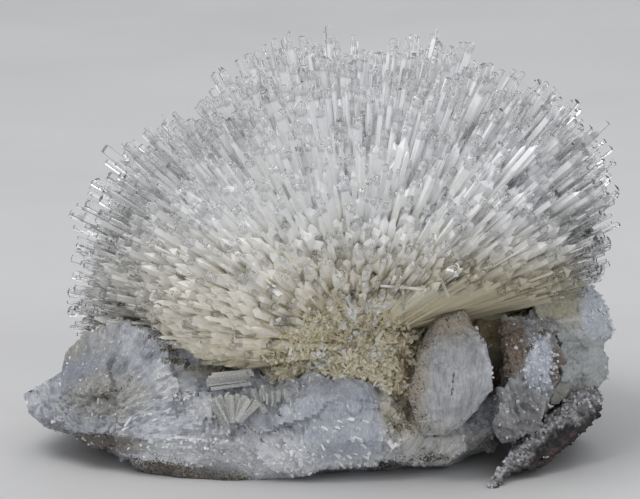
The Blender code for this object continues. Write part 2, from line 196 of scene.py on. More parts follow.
def cells(p, seed=0):
    """Cells around scattered points: distance to the nearest point and to the next, the
    way from the nearest, and three random numbers that all of a cell shares."""
    base = np.floor(p).astype(np.int64)
    best, second = np.full(len(p), 1e9), np.full(len(p), 1e9)
    off, mine = np.zeros_like(p), np.zeros(len(p), np.int64)
    for k in range(27):
        c = base + np.array((k % 3 - 1, k // 3 % 3 - 1, k // 9 - 1))
        h = hashed(c, seed)
        q = c + 0.1 + 0.8 * np.stack([h & 1023, (h >> 10) & 1023, (h >> 20) & 1023], 1) / 1023.0
        gap = p - q
        far = (gap ** 2).sum(1)
        closer = far < best
        second = np.where(closer, best, np.minimum(second, far))
        best = np.where(closer, far, best)
        off[closer], mine[closer] = gap[closer], h[closer]
    h = hashed(np.stack([mine, mine >> 7, mine >> 15], 1), seed + 77)
    shared = np.stack([h & 1023, (h >> 10) & 1023, (h >> 20) & 1023], 1) / 1023.0
    return np.sqrt(best), np.sqrt(second), off, shared


def broken(p, size, slope, step, seed):
    """Relief of a broken surface, in millimetres: flat facets, each tilted its own way."""
    _, _, off, shared = cells(p / size, seed)
    return ((off * (shared * 2 - 1)).sum(1) * slope + (shared[:, 0] * 2 - 1) * step) * size


def mesh_object(name, verts, faces, material, tint=None, smooth_shaded=False, **attributes):
    """An object from points in millimetres and lists of corner numbers."""
    mesh = bpy.data.meshes.new(name)
    verts = (np.asarray(verts, float) - np.array(CENTRE)) * MM
    mesh.from_pydata(verts.tolist(), [], faces)
    if tint is not None:
        layer = mesh.attributes.new("tint", "FLOAT_COLOR", "POINT")
        rgba = np.ones((len(verts), 4), np.float32)
        rgba[:, :3] = tint
        layer.data.foreach_set("color", rgba.ravel())
    for key, values in attributes.items():
        values = np.asarray(values, np.float32)
        if values.ndim == 2:
            layer = mesh.attributes.new(key, "FLOAT_VECTOR", "POINT")
            layer.data.foreach_set("vector", values.ravel())
        else:
            layer = mesh.attributes.new(key, "FLOAT", "POINT")
            layer.data.foreach_set("value", values)
    mesh.materials.append(material)
    if smooth_shaded:
        mesh.shade_smooth()
    mesh.validate()
    obj = bpy.data.objects.new(name, mesh)
    bpy.context.scene.collection.objects.link(obj)
    return obj


def rods(start, end, width, depth, turn, chamfer, point, lean, taper):
    """Square crystals with chamfered edges and low points: one closed mesh of all.

    start and end are (n, 3); width, depth, turn, point and taper are (n,); lean is
    (n, 2), the slope of the end face. chamfer 0 gives plain square crystals.
    Returns the points (n, k, 3) and the faces.
    """
    n = len(start)
    axis = end - start
    length = np.linalg.norm(axis, axis=1, keepdims=True)
    axis = axis / length
    guide = np.where(np.abs(axis[:, 2:3]) < 0.9, np.array([[0, 0, 1.0]]), np.array([[1.0, 0, 0]]))
    side = np.cross(guide, axis)
    side /= np.linalg.norm(side, axis=1, keepdims=True)
    other = np.cross(axis, side)
    c, s = np.cos(turn)[:, None], np.sin(turn)[:, None]
    side, other = side * c + other * s, other * c - side * s
    if chamfer > 0:
        k = 1.0 - chamfer
        ring = np.array([(k, -1), (1, -k), (1, k), (k, 1), (-k, 1), (-1, k), (-1, -k), (-k, -1)], float)
    else:
        ring = np.array([(1, -1), (1, 1), (-1, 1), (-1, -1)], float)
    m = len(ring)
    u = ring[None, :, 0] * (width / 2)[:, None]
    v = ring[None, :, 1] * (depth / 2)[:, None]
    off = u[..., None] * side[:, None] + v[..., None] * other[:, None]
    slope = (ring[None, :, 0] * lean[:, None, 0] + ring[None, :, 1] * lean[:, None, 1]) * (width / 2)[:, None]
    low = start[:, None] + off * taper[:, None, None]
    high = end[:, None] - axis[:, None] * (point[:, None, None] - slope[..., None]) + off
    tip = end[:, None] + (side[:, None] * lean[:, None, :1] + other[:, None] * lean[:, None, 1:]) * (width * 0.3)[:, None, None]
    points = np.concatenate([low, high, tip], axis=1)
    per = 2 * m + 1
    one = [tuple(range(m - 1, -1, -1))]
    for i in range(m):
        j = (i + 1) % m
        one.append((i, j, m + j, m + i))
        one.append((m + i, m + j, 2 * m))
    faces = []
    for k in range(n):
        base = k * per
        faces.extend([tuple(base + i for i in f) for f in one])
    return points, faces


# ---------------------------------------------------------------- material helpers


class Shader:
    """A small wrapper that adds and joins shader nodes."""

    def __init__(self, name):
        self.material = bpy.data.materials.new(name)
        self.material.use_nodes = True
        self.tree = self.material.node_tree
        self.bsdf = self.tree.nodes["Principled BSDF"]
        self.out = self.tree.nodes["Material Output"]

    def node(self, kind, **values):
        made = self.tree.nodes.new(kind)
        for key, value in values.items():
            if key.startswith("in_"):
                made.inputs[int(key[3:])].default_value = value
            else:
                setattr(made, key, value)
        return made

    def join(self, a, b):
        self.tree.links.new(a, b)

    def plain(self, **values):
        names = {
            "base": "Base Color", "rough": "Roughness", "ior": "IOR", "clear": "Transmission Weight",
            "coat": "Coat Weight", "coat_rough": "Coat Roughness", "gloss": "Specular IOR Level",
            "under": "Subsurface Weight", "under_scale": "Subsurface Scale", "sheen": "Sheen Weight",
        }
        for key, value in values.items():
            if key == "base":
                value = (*value, 1.0)
            self.bsdf.inputs[names[key]].default_value = value
        return self

    def attribute(self, name):
        return self.node("ShaderNodeAttribute", attribute_name=name)

    def where(self):
        """Object coordinates in millimetres."""
        coords = self.node("ShaderNodeTexCoord")
        scaled = self.node("ShaderNodeVectorMath", operation="SCALE")
        scaled.inputs["Scale"].default_value = 1000.0
        self.join(coords.outputs["Object"], scaled.inputs[0])
        return scaled.outputs[0]

    def noise(self, vector, scale, detail=3.0, rough=0.55, distortion=0.0):
        made = self.node("ShaderNodeTexNoise")
        made.inputs["Scale"].default_value = scale
        made.inputs["Detail"].default_value = detail
        made.inputs["Roughness"].default_value = rough
        made.inputs["Distortion"].default_value = distortion
        self.join(vector, made.inputs["Vector"])
        return made.outputs["Fac"]

    def ramp(self, value, *stops):
        made = self.node("ShaderNodeValToRGB")
        ramp = made.color_ramp
        while len(ramp.elements) < len(stops):
            ramp.elements.new(0.5)
        for element, (at, colour) in zip(ramp.elements, stops):
            element.position = at
            element.color = (*colour, 1.0) if len(colour) == 3 else colour
        self.join(value, made.inputs["Fac"])
        return made.outputs["Color"]

    def mix(self, factor, a, b, kind="MIX"):
        made = self.node("ShaderNodeMix", data_type="RGBA", blend_type=kind)
        for source, socket in ((factor, made.inputs[0]), (a, made.inputs[6]), (b, made.inputs[7])):
            if isinstance(source, (int, float)):
                socket.default_value = source
            elif isinstance(source, (tuple, list, np.ndarray)):
                socket.default_value = (*source, 1.0)
            else:
                self.join(source, socket)
        return made.outputs[2]

    def maths(self, operation, a, b=0.0, clamp=False):
        made = self.node("ShaderNodeMath", operation=operation, use_clamp=clamp)
        for source, socket in ((a, made.inputs[0]), (b, made.inputs[1])):
            if isinstance(source, (int, float)):
                socket.default_value = source
            else:
                self.join(source, socket)
        return made.outputs[0]

    def bump(self, height, strength, distance, normal=None):
        made = self.node("ShaderNodeBump")
        made.inputs["Strength"].default_value = strength
        made.inputs["Distance"].default_value = distance
        self.join(height, made.inputs["Height"])
        if normal is not None:
            self.join(normal, made.inputs["Normal"])
        return made.outputs["Normal"]

    def set(self, socket, source):
        self.join(source, self.bsdf.inputs[socket])
        return self


def clear_crystal():
    """Colourless natrolite: see-through, with faint growth lines along the needles."""
    s = Shader("clear_natrolite")
    s.plain(base=(1.0, 1.0, 1.0), rough=0.03, ior=1.48, clear=1.0)
    grain = s.noise(s.where(), 1.6, 2.0)
    s.set("Roughness", s.maths("MULTIPLY", grain, 0.12))
    fine = s.noise(s.where(), 2.4, 3.0)
    s.set("Normal", s.bump(fine, 0.25, 0.00006))
    return s.material


def milky_crystal():
    """The milky lower part of a needle: white with fine lines and a glassy surface."""
    s = Shader("milky_natrolite")
    s.plain(rough=0.3, ior=1.48)
    where = s.where()
    tint = s.attribute("tint").outputs["Color"]
    cloud = s.ramp(s.noise(where, 0.35, 4.0), (0.3, (0.97, 0.97, 0.97)), (0.7, (1.0, 1.0, 1.0)))
    s.set("Base Color", s.mix(1.0, tint, cloud, "MULTIPLY"))
    s.set("Roughness", s.ramp(s.noise(where, 1.1, 3.0), (0.3, (0.20,) * 3), (0.7, (0.5,) * 3)))
    s.set("Normal", s.bump(s.noise(where, 2.2, 3.0), 0.3, 0.00008))
    return s.material


def cream_crystal(name="cream_crystal", clear=0.10, shades=((0.88, 0.87, 0.83), (1.0, 1.0, 1.0))):
    """Small crystals: translucent, glassy and glittering."""
    s = Shader(name)
    s.plain(rough=0.2, ior=1.48, clear=clear)
    where = s.where()
    tint = s.attribute("tint").outputs["Color"]
    cloud = s.ramp(s.noise(where, 0.9, 4.0), (0.25, shades[0]), (0.75, shades[1]))
    s.set("Base Color", s.mix(1.0, tint, cloud, "MULTIPLY"))
    s.set("Roughness", s.ramp(s.noise(where, 2.0, 3.0), (0.3, (0.10,) * 3), (0.7, (0.34,) * 3)))
    s.set("Normal", s.bump(s.noise(where, 3.5, 3.0), 0.4, 0.00010))
    return s.material


def fibrous_zeolite(name, clear=0.08, rough=(0.2, 0.45), lines=(0.72, 1.0), relief=0.8, flecks=0.60):
    """Massive white zeolite: silky fibres, sugary flecks, and dirt where "dirt" says."""
    s = Shader(name)
    s.plain(rough=0.4, ior=1.48, clear=clear)
    where = s.where()
    tint = s.attribute("tint").outputs["Color"]
    grain = s.attribute("grain").outputs["Vector"]
    dirt = s.attribute("dirt").outputs["Fac"]
    streak = s.noise(grain, 1.0, 4.0, 0.62)
    low, high = lines
    body = s.mix(1.0, tint, s.ramp(streak, (0.32, (low, low, low * 1.01)), (0.62, (high,) * 3)), "MULTIPLY")
    cloud = s.noise(where, 0.45, 5.0, 0.6)
    body = s.mix(1.0, body, s.ramp(cloud, (0.3, (0.80, 0.81, 0.83)), (0.7, (1.0, 1.0, 1.0))), "MULTIPLY")
    sugar = s.noise(where, 1.9, 4.0, 0.7)
    fleck = s.ramp(s.maths("ADD", s.maths("MULTIPLY", sugar, 0.75), s.maths("MULTIPLY", streak, 0.3)),
                   (flecks, (0.0, 0.0, 0.0)), (flecks + 0.08, (1.0, 1.0, 1.0)))
    body = s.mix(fleck, body, tuple(linear(246, 248, 252)))
    speck = s.noise(where, 3.1, 3.0, 0.7)
    level = s.maths("ADD", s.maths("MULTIPLY", s.maths("SUBTRACT", speck, 0.5), 2.4), dirt)
    stain = s.ramp(level, (0.50, (0.0, 0.0, 0.0)), (0.64, (1.0, 1.0, 1.0)))
    soil = s.ramp(s.noise(where, 1.7, 4.0, 0.65), (0.34, tuple(linear(42, 36, 29))), (0.52, tuple(linear(98, 87, 71))),
                  (0.72, tuple(linear(170, 163, 150))))
    s.set("Base Color", s.mix(1.0, s.mix(stain, body, soil), (0.88, 0.88, 0.88), "MULTIPLY"))
    s.set("Roughness", s.ramp(s.noise(where, 1.2, 3.0), (0.3, (rough[0],) * 3), (0.7, (rough[1],) * 3)))
    fine = s.maths("ADD", s.maths("MULTIPLY", streak, 0.8), s.maths("MULTIPLY", s.noise(where, 2.8, 4.0, 0.65), 0.4))
    s.set("Normal", s.bump(fine, relief, 0.00022))
    return s.material


def rock_material():
    """Host rock: dark grey speckle, white sugary grains above, pinkish below."""
    s = Shader("host_rock_surface")
    s.plain(rough=0.8)
    where = s.where()
    tint = s.attribute("tint").outputs["Color"]
    grains = s.node("ShaderNodeTexVoronoi", feature="F1")
    grains.inputs["Scale"].default_value = 1.9
    s.join(where, grains.inputs["Vector"])
    speckle = s.ramp(grains.outputs["Color"], (0.15, (0.40, 0.39, 0.39)), (0.5, (0.85, 0.84, 0.83)), (0.85, (1.3, 1.3, 1.33)))
    body = s.mix(1.0, tint, speckle, "MULTIPLY")
    mottle = s.ramp(s.noise(where, 1.5, 5.0, 0.65), (0.32, (0.55, 0.53, 0.53)), (0.66, (1.1, 1.1, 1.1)))
    s.set("Base Color", s.mix(1.0, body, mottle, "MULTIPLY"))
    s.set("Roughness", s.ramp(s.noise(where, 2.0, 2.0), (0.3, (0.45,) * 3), (0.7, (0.9,) * 3)))
    s.set("Normal", s.bump(s.noise(where, 2.2, 5.0, 0.7), 0.8, 0.0003))
    return s.material


# ---------------------------------------------------------------- the needle spray


def even_directions(spacing, jitter, rng):
    """Directions spread evenly over the upper dome, spacing in mm at the tips."""
    total = int(4 * math.pi * TIP_RADIUS ** 2 / spacing ** 2)
    i = np.arange(total)
    z = 1 - (i + 0.5) * 2 / total
    i, z = i[z > -0.02], z[z > -0.02]
    a = i * math.pi * (3 - math.sqrt(5))
    r = np.sqrt(np.maximum(0, 1 - z * z))
    d = np.stack([r * np.cos(a), r * np.sin(a), z], 1)
    return unit(d + rng.normal(0, jitter, d.shape))


def needle_plan():
    """Directions, reach, thickness and foot radius of the long needles of the spray."""
    rng = np.random.default_rng(90210)
    d = even_directions(1.60, 0.0100, rng)
    d = d[above_lowest(d) > 0.4]
    # thinner ones grown against the side of others
    twin = d[rng.random(len(d)) < 0.13]
    twin = unit(twin + rng.normal(0, 0.011, twin.shape))
    # more along the lower rim, where they show from root to tip
    a = np.concatenate([rng.uniform(0, 360, 560), rng.uniform(168, 196, 130), rng.uniform(18, 166, 340)])
    lower = np.concatenate([rng.uniform(-0.6, 3.5, 560), rng.uniform(-3.6, 0.5, 130), rng.uniform(-5.5, 0.5, 340)])
    rim = direction(a, on_curve(LOWEST_CURVE, a) + lower)
    n = len(d)
    kind = np.repeat([0, 1, 2], [n, len(twin), len(rim)])
    d = np.concatenate([d, twin, rim])
    up = above_lowest(d)
    share = 1.005 - 0.23 * rng.random(len(d)) ** 0.9 + 0.03 * ripple(d * 8.0, 3)
    share += np.where(rng.random(len(d)) < 0.05, rng.uniform(0.015, 0.05, len(d)), 0)
    share = np.clip(share, 0.76, 1.045)
    share = np.where(kind == 1, share * 0.97, share)
    share = np.where(kind == 2, rng.uniform(0.72, 1.0, len(d)), share)
    thick = np.clip(np.exp(rng.normal(math.log(0.82), 0.30, len(d))), 0.42, 1.6)
    thick = np.where(kind == 1, thick * 0.62, np.where(kind == 2, thick * 0.85, thick))
    foot = np.where(up < 9.0 + rng.uniform(-1.5, 1.5, len(d)), rng.uniform(4.5, 8.0, len(d)), 24.0)
    return d, envelope(d) * share, thick, foot


def rooted(d, length, foot):
    """Start and end of needles. Those that reach forward rise from further forward in the
    root bed, so that the front of the spray shows their sides."""
    root = np.array(ROOT)
    tilt = math.radians(FRONT_TILT)
    level = smooth(0.5, 0.15, d[:, 2]) * smooth(0.1, -0.5, d[:, 0])  # the lower left ones lie flattest
    forward = np.clip(-d[:, 1] * length * (0.62 + 0.2 * level), 0.0, 15.0 + 7.0 * level)
    foot_point = root + forward[:, None] * np.array((0.0, -math.cos(tilt), math.sin(tilt)))
    end = root + d * length[:, None]
    reach = np.linalg.norm(end - foot_point, axis=1)
    axis = unit(end - foot_point)
    return foot_point + axis * np.minimum(foot, reach * 0.5)[:, None], end


def needle_tints(points):
    """Colour of the milky crystal: cool white on top, cream and olive low in front and near the root, partly the
    crystal's own colour and partly painted shade; painted shade also darkens the sides.
    """
    r = np.linalg.norm(points - np.array(ROOT), axis=-1)
    column, row = to_front(points)
    low = smooth(190.0, 330.0, row) * smooth(18.0, -22.0, points[..., 1])
    deep = smooth(44.0, 22.0, r)
    top = linear(251, 252, 254)
    cream = linear(241, 236, 221)
    olive = linear(226, 216, 181)
    # cream and olive low in front and near the root: partly the crystal's own colour, partly painted shade
    colour = top + (cream - top) * np.clip(low * 0.8 + deep * 0.25, 0, 1)[..., None]
    colour = colour + (olive - colour) * np.clip(low * deep * 0.9, 0, 1)[..., None]
    # painted shade: the needles darken towards the left and right sides of the dome
    colour = colour * (1 - 0.22 * smooth(20.0, 46.0, np.abs(points[..., 0] - ROOT.x)))[..., None]
    under = smooth(405.0, 455.0, column) * smooth(240.0, 290.0, row) * smooth(10.0, -10.0, points[..., 1])
    return colour + (linear(190, 181, 152) - colour) * (0.8 * under)[..., None]


def build_spray(clear, milky):
    rng = np.random.default_rng(77)
    d, length, thick, foot = needle_plan()
    n = len(d)
    jog = rng.normal(0, 0.4, (n, 3))
    jog -= (jog * d).sum(1, keepdims=True) * d
    start, end = rooted(d, length, foot)
    start += jog * (foot < 12)[:, None]
    width, depth = thick, thick * rng.uniform(0.8, 1.0, n)
    turn = rng.uniform(0, math.pi / 2, n)
    axis = unit(end - start)

    # clear outer part of each needle
    draw = width * rng.uniform(0.7, 1.6, n)
    glass = draw * 0.8 + rng.uniform(0.1, 0.5, n)
    glass = np.where(rng.random(n) < 0.06, glass + rng.uniform(1.0, 4.0, n), glass)
    glass += smooth(0.55, 0.15, np.abs(d[:, 1])) * rng.gamma(2.4, 1.15, n) * (1 - 0.6 * smooth(0.7, 0.95, d[:, 2]))
    whole = (above_lowest(d) < 30.0) & (d[:, 1] < -0.15) & (rng.random(n) < 0.15)  # milky to the very end
    glass[whole], draw[whole] = 0.05, width[whole] * 1.4
    glass_start = end - axis * (glass + 0.3)[:, None]
    point = width * rng.uniform(0.10, 0.34, n)
    lean = rng.normal(0, 0.12, (n, 2))
    snapped = rng.random(n) < 0.22  # broken ends slope more
    lean[snapped] = rng.normal(0, 0.38, (snapped.sum(), 2))
    point[snapped] *= 0.3
    made = []
    order = rng.permutation(np.flatnonzero(~whole))
    for k, half in enumerate(np.array_split(order, 2), 1):
        pts, faces = rods(
            glass_start[half], end[half], width[half], depth[half], turn[half], 0.16,
            point[half], lean[half], np.ones(len(half)),
        )
        made.append(mesh_object(f"needle_tips_{k}", pts.reshape(-1, 3), faces, clear))

    # milky inner part, drawn out to a point inside the clear one
    inner_end = end - axis * np.where(whole, 0.0, np.maximum(glass - draw, 0.15))[:, None]
    bodies = [(start, inner_end, width * 0.93, depth * 0.93, turn, draw, np.where(foot < 12, 0.55, 0.9))]
    # shorter milky needles that fill the spray between the long ones
    e = even_directions(1.38, 0.010, rng)
    e = e[above_lowest(e) > 0.6]
    m = len(e)
    reach = 0.815 + 0.03 * ripple(e * 9.0, 5) + rng.normal(0, 0.028, m)
    reach += 0.065 * smooth(-0.15, -0.5, e[:, 1]) * smooth(0.85, 0.55, e[:, 2])
    reach += 0.055 * smooth(-0.3, -0.7, e[:, 0]) * smooth(0.6, 0.3, e[:, 2])
    reach = envelope(e) * np.clip(reach, 0.75, 0.935)
    w = rng.uniform(1.05, 1.7, m)
    low = above_lowest(e) < 7.0
    fill_start, fill_end = rooted(e, reach, np.where(low, 8.0, 30.0))
    bodies.append((
        fill_start, fill_end, w, w * rng.uniform(0.7, 1, m),
        rng.uniform(0, 1.5, m), w * rng.uniform(0.6, 1.8, m), np.where(low, 0.4, 0.9),
    ))
    for k, (low_end, top_end, w, t, spin, taper_to, foot_size) in enumerate(bodies, 1):
        pts, faces = rods(low_end, top_end, w, t, spin, 0.0, taper_to, np.zeros((len(w), 2)), foot_size)
        tints = needle_tints(pts) * rng.uniform(0.94, 1.03, (len(w), 1, 1))
        made.append(mesh_object(
            f"needle_bodies_{k}", pts.reshape(-1, 3), faces, milky, tint=np.clip(tints, 0, 0.98).reshape(-1, 3)))
    print("needles", n, m)
    return made


def build_heart(milky):
    """The solid middle, where the needles are grown together side by side."""
    around, up = 360, 110
    a = np.arange(around) * 360 / around
    lowest = on_curve(LOWEST_CURVE, a) + 0.6
    rows = [np.array(ROOT) + direction(a, 0.0 * a) * 4.0 - np.array((0, 0, 1.0))]
    for k in range(up + 1):
        d = direction(a, lowest + (89.2 - lowest) * k / up)
        rows.append(np.array(ROOT) + d * (envelope(d) * (0.76 + 0.02 * ripple(d * 34.0, 2)))[:, None])
    top = envelope(np.array([(0, 0, 1.0)]))[0] * 0.76
    verts = np.concatenate([[np.array(ROOT) - (0, 0, 1.0)], *rows, [np.array(ROOT) + (0, 0, top)]])
    faces = []
    n = around
    last = 1 + (len(rows) - 1) * n
    for i in range(n):
        j = (i + 1) % n
        faces.append((0, 1 + j, 1 + i))
        for k in range(len(rows) - 1):
            a0, b0 = 1 + k * n, 1 + (k + 1) * n
            faces.append((a0 + i, a0 + j, b0 + j, b0 + i))
        faces.append((last + i, last + j, len(verts) - 1))
    return mesh_object("needle_heart", verts, faces, milky, tint=needle_tints(verts))


# ---------------------------------------------------------------- broken stone


def refined(node, voxel):
    """Points, faces and normals of a CAD node's surface on an even fine grid, in mm."""
    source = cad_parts[node]
    mesh = source.data.copy()
    temp = bpy.data.objects.new("temp_" + node, mesh)
    bpy.context.scene.collection.objects.link(temp)
    even = temp.modifiers.new("even", "REMESH")
    even.mode = "VOXEL"
    even.voxel_size = voxel * MM
    bpy.context.view_layer.update()
    fine = bpy.data.meshes.new_from_object(temp.evaluated_get(bpy.context.evaluated_depsgraph_get()))
    bpy.data.objects.remove(temp, do_unlink=True)
    n = len(fine.vertices)
    points = np.empty(n * 3)
    fine.vertices.foreach_get("co", points)
    points = points.reshape(-1, 3) / MM + np.array(CENTRE)
    normals = np.empty(n * 3, np.float32)
    fine.vertex_normals.foreach_get("vector", normals)
    faces = [tuple(p.vertices) for p in fine.polygons]
    bpy.data.meshes.remove(fine)
    return points, faces, normals.reshape(-1, 3).astype(float)


def along_fibres(points, centre, across, along):
    """Coordinates in which a unit is `across` mm over the fibres that radiate from the
    centre, and `along` mm down them."""
    q = points - np.array(centre)
    r = np.linalg.norm(q, axis=1, keepdims=True)
    return q / r * (r.mean() / across) + r / along * 0.58


def blob(column, row, cx, cy, rx, ry, edge=0.35):
    """1 inside an ellipse of the front view, falling to 0 over its edge."""
    return smooth(1 + edge, 1 - edge, np.hypot((column - cx) / rx, (row - cy) / ry))


def stroke(column, row, places, width):
    """1 on a line through places of the front view, falling to 0 at its width."""
    near = np.full(len(column), 1e9)
    for (ax, ay), (bx, by) in zip(places, places[1:]):
        t = np.clip(((column - ax) * (bx - ax) + (row - ay) * (by - ay)) / ((bx - ax) ** 2 + (by - ay) ** 2), 0, 1)
        near = np.minimum(near, np.hypot(column - ax - t * (bx - ax), row - ay - t * (by - ay)))
    return smooth(width, width * 0.4, near)


def shade(tint, mask, colour, amount=1.0):
    """Moves the tint towards a colour where the mask is high."""
    return tint + (np.asarray(colour) - tint) * (np.asarray(mask) * amount)[:, None]


def splintered(coords, slope, step, seed):
    """Relief in mm of a surface split into splinters that the coords follow."""
    near, second, off, shared = cells(coords, seed)
    relief = (off * (shared * 2 - 1)).sum(1) * slope + (shared[:, 0] * 2 - 1) * step
    return relief - smooth(0.16, 0.0, second - near) * step * 0.6


def studs(name, at, normal, rng, material, size, tint, lean=0.5, slim=(0.5, 1.0), tall=(0.5, 1.2), along=None, sink=0.45):
    """Small crystals set in a surface, as one closed mesh. With `along`, they lie that way."""
    n = len(at)
    if along is None:
        axis = unit(normal + rng.normal(0, lean, (n, 3)))
    else:
        axis = along - (along * normal).sum(1, keepdims=True) * normal
        axis = unit(unit(axis) + normal * np.abs(rng.normal(0, lean, (n, 1))) + rng.normal(0, 0.16, (n, 3)))
    w = rng.uniform(*size, n)
    length = w * rng.uniform(*tall, n) * 2
    start = at - axis * (length * sink)[:, None] - normal * (w * 0.2)[:, None]
    end = at + axis * (length * (1 - sink))[:, None] + normal * (w * 0.1)[:, None]
    pts, faces = rods(start, end, w, w * rng.uniform(*slim, n), rng.uniform(0, 3.1, n), 0.0, w * rng.uniform(0.2, 0.7, n),
                      rng.normal(0, 0.25, (n, 2)), rng.uniform(0.6, 1.0, n))
    pts[:, :, 2] = np.maximum(pts[:, :, 2], 0.02)
    colours = np.repeat(np.asarray(tint)[:, None], pts.shape[1], 1) * rng.uniform(0.9, 1.04, (n, 1, 1))
    return mesh_object(name, pts.reshape(-1, 3), faces, material, tint=np.clip(colours, 0, 0.97).reshape(-1, 3))


def build_matrix(material, sugar_material):
    pts, faces, nrm = refined("matrix", 0.42)
    column, row = to_front(pts)
    front = smooth(6.0, -6.0, pts[:, 1])
    lobe = smooth(245.0, 195.0, column)  # the fan of fibres at the left
    fan, block = from_front(58, 440, -24.0), from_front(345, 540, -26.0)

    def field(across, along):
        return along_fibres(pts, fan, across, along) * lobe[:, None] + along_fibres(pts, block, across, along) * (1 - lobe)[:, None]

    hump = blob(column, row, 502, 340, 44, 58, 0.2) * smooth(-22.0, -16.0, pts[:, 1])
    calm = 1 - 0.6 * blob(column, row, 342, 415, 42, 46) - 0.3 * blob(column, row, 80, 365, 26, 30)
    relief = broken(pts, 11.0, 0.20, 0.04, 5) + broken(pts, 4.2, 0.18, 0.05, 6)
    relief += splintered(field(3.0, 13.0), 0.55, 0.34, 8) + splintered(field(1.1, 6.0), 0.26, 0.13, 9)
    relief += layered(pts, 0.8, 4, 3) * (0.10 + 0.25 * blob(column, row, 225, 455, 110, 26)) + ripple(field(0.8, 8.0), 12) * 0.14
    ridges = ripple(field(2.2, 40.0), 3) * 0.55 + ripple(field(1.0, 30.0), 4) * 0.22
    smoother = blob(column, row, 95, 385, 85, 60, 0.3) * (1 - 0.7 * blob(column, row, 222, 455, 90, 26))
    relief = relief * (1 - 0.62 * smoother) + ridges * smoother
    back = smooth(0.0, 10.0, pts[:, 1])
    relief = relief * calm * (1 - 0.75 * hump * (1 - back)) * (0.45 + 0.55 * np.maximum(smooth(1.0, 9.0, pts[:, 2]), back))
    relief += (broken(pts, 6.0, 0.42, 0.16, 15) + layered(pts, 0.5, 19, 3) * 0.5) * back * smooth(0.5, 4.0, pts[:, 2])
    keep = smooth(0.0, 1.8, pts[:, 2])
    out = pts + nrm * (relief * keep)[:, None]
    out[:, 2] = np.maximum(out[:, 2], 0.0)
    flat = pts[:, 2] < 0.02
    out[flat] = pts[flat]
    # the glassy facet that slopes down from the lobe to its tip
    c, r = to_front(out)
    over = np.interp(c, (10, 20, 35, 63, 66, 70), (402, 396, 388, 371, 345, 300)) - r
    out[:, 2] -= np.where((over > 0) & (c < 70), over * FRONT_UNIT / math.cos(math.radians(FRONT_TILT)), 0)

    blue, grey = linear(216, 220, 228), linear(188, 192, 200)
    white, beige, brown = linear(250, 251, 253), linear(224, 216, 192), linear(112, 92, 64)
    patch = smooth(-0.3, 0.4, layered(pts, 0.13, 21, 3))
    tint = blue + (grey - blue) * (0.75 * patch)[:, None]
    sugar = smooth(-0.05, 0.35, layered(pts, 0.28, 31, 3)) * 0.55
    sugar = np.maximum(sugar, blob(column, row, 232, 452, 105, 26) * front)
    sugar = np.maximum(sugar, stroke(column, row, [(168, 378), (185, 392), (206, 405), (226, 420)], 16) * front * 0.9)
    sugar = np.maximum(sugar, stroke(column, row, [(250, 430), (300, 440), (350, 458), (400, 462), (450, 452)], 14) * front * 0.8)
    sugar = np.maximum(sugar, stroke(column, row, [(70, 335), (96, 322), (122, 318)], 9) * front)
    sugar *= 1 - 0.8 * blob(column, row, 340, 412, 38, 34)
    tint = shade(tint, sugar, white, 0.9)
    tint = shade(tint, blob(column, row, 342, 412, 42, 40) * front, linear(204, 209, 220), 0.8)
    tint = shade(tint, blob(column, row, 80, 362, 20, 28) * front, linear(184, 190, 204), 0.9)
    tint = shade(tint, blob(column, row, 112, 394, 42, 22) * front, linear(222, 218, 206), 0.6)
    tint = shade(tint, blob(column, row, 406, 400, 26, 34) * front, beige, 0.9)
    tint = shade(tint, stroke(column, row, [(395, 440), (430, 446), (480, 440)], 18) * front, linear(238, 236, 226), 0.7)
    # the lobe's underside: partly its own olive brown, partly painted shade where no light reaches it
    tint = shade(tint, blob(column, row, 95, 442, 52, 12) * front, brown, 0.75)
    tint = shade(tint, blob(column, row, 222, 378, 42, 20) * smooth(16.0, 18.0, pts[:, 2]), linear(176, 164, 128), 0.8)
    tint = shade(tint, hump * (1 - back) * smooth(400.0, 330.0, row), linear(204, 184, 138))
    # the low part of the cleft between the egg and the right sheaf: partly its own olive brown, partly painted shade
    tint = shade(tint, hump * (1 - back) * smooth(335.0, 372.0, row), linear(108, 84, 60))
    tint = shade(tint, back * smooth(0.0, 0.4, layered(pts, 0.2, 23, 3)), linear(224, 217, 196), 0.7)
    crust = back * smooth(0.5, -0.5, (pts[:, 2] - 6.5) / 4.0 + 1.2 * layered(pts, 0.22, 27, 3))
    tint = shade(tint, crust, linear(126, 122, 120), 0.85)
    top = smooth(-14.0, -4.0, pts[:, 1]) * smooth(14.0, 18.0, pts[:, 2]) * (1 - hump)
    tint = shade(tint, top, beige, 0.6)

    # painted shade: the left lobe and its smoother facet are darkened
    tint = tint * (1 - 0.24 * smoother - 0.18 * blob(column, row, 92, 380, 42, 46))[:, None]
    tint = shade(tint, blob(column, row, 190, 476, 70, 14) * front, linear(104, 103, 103), 0.85)

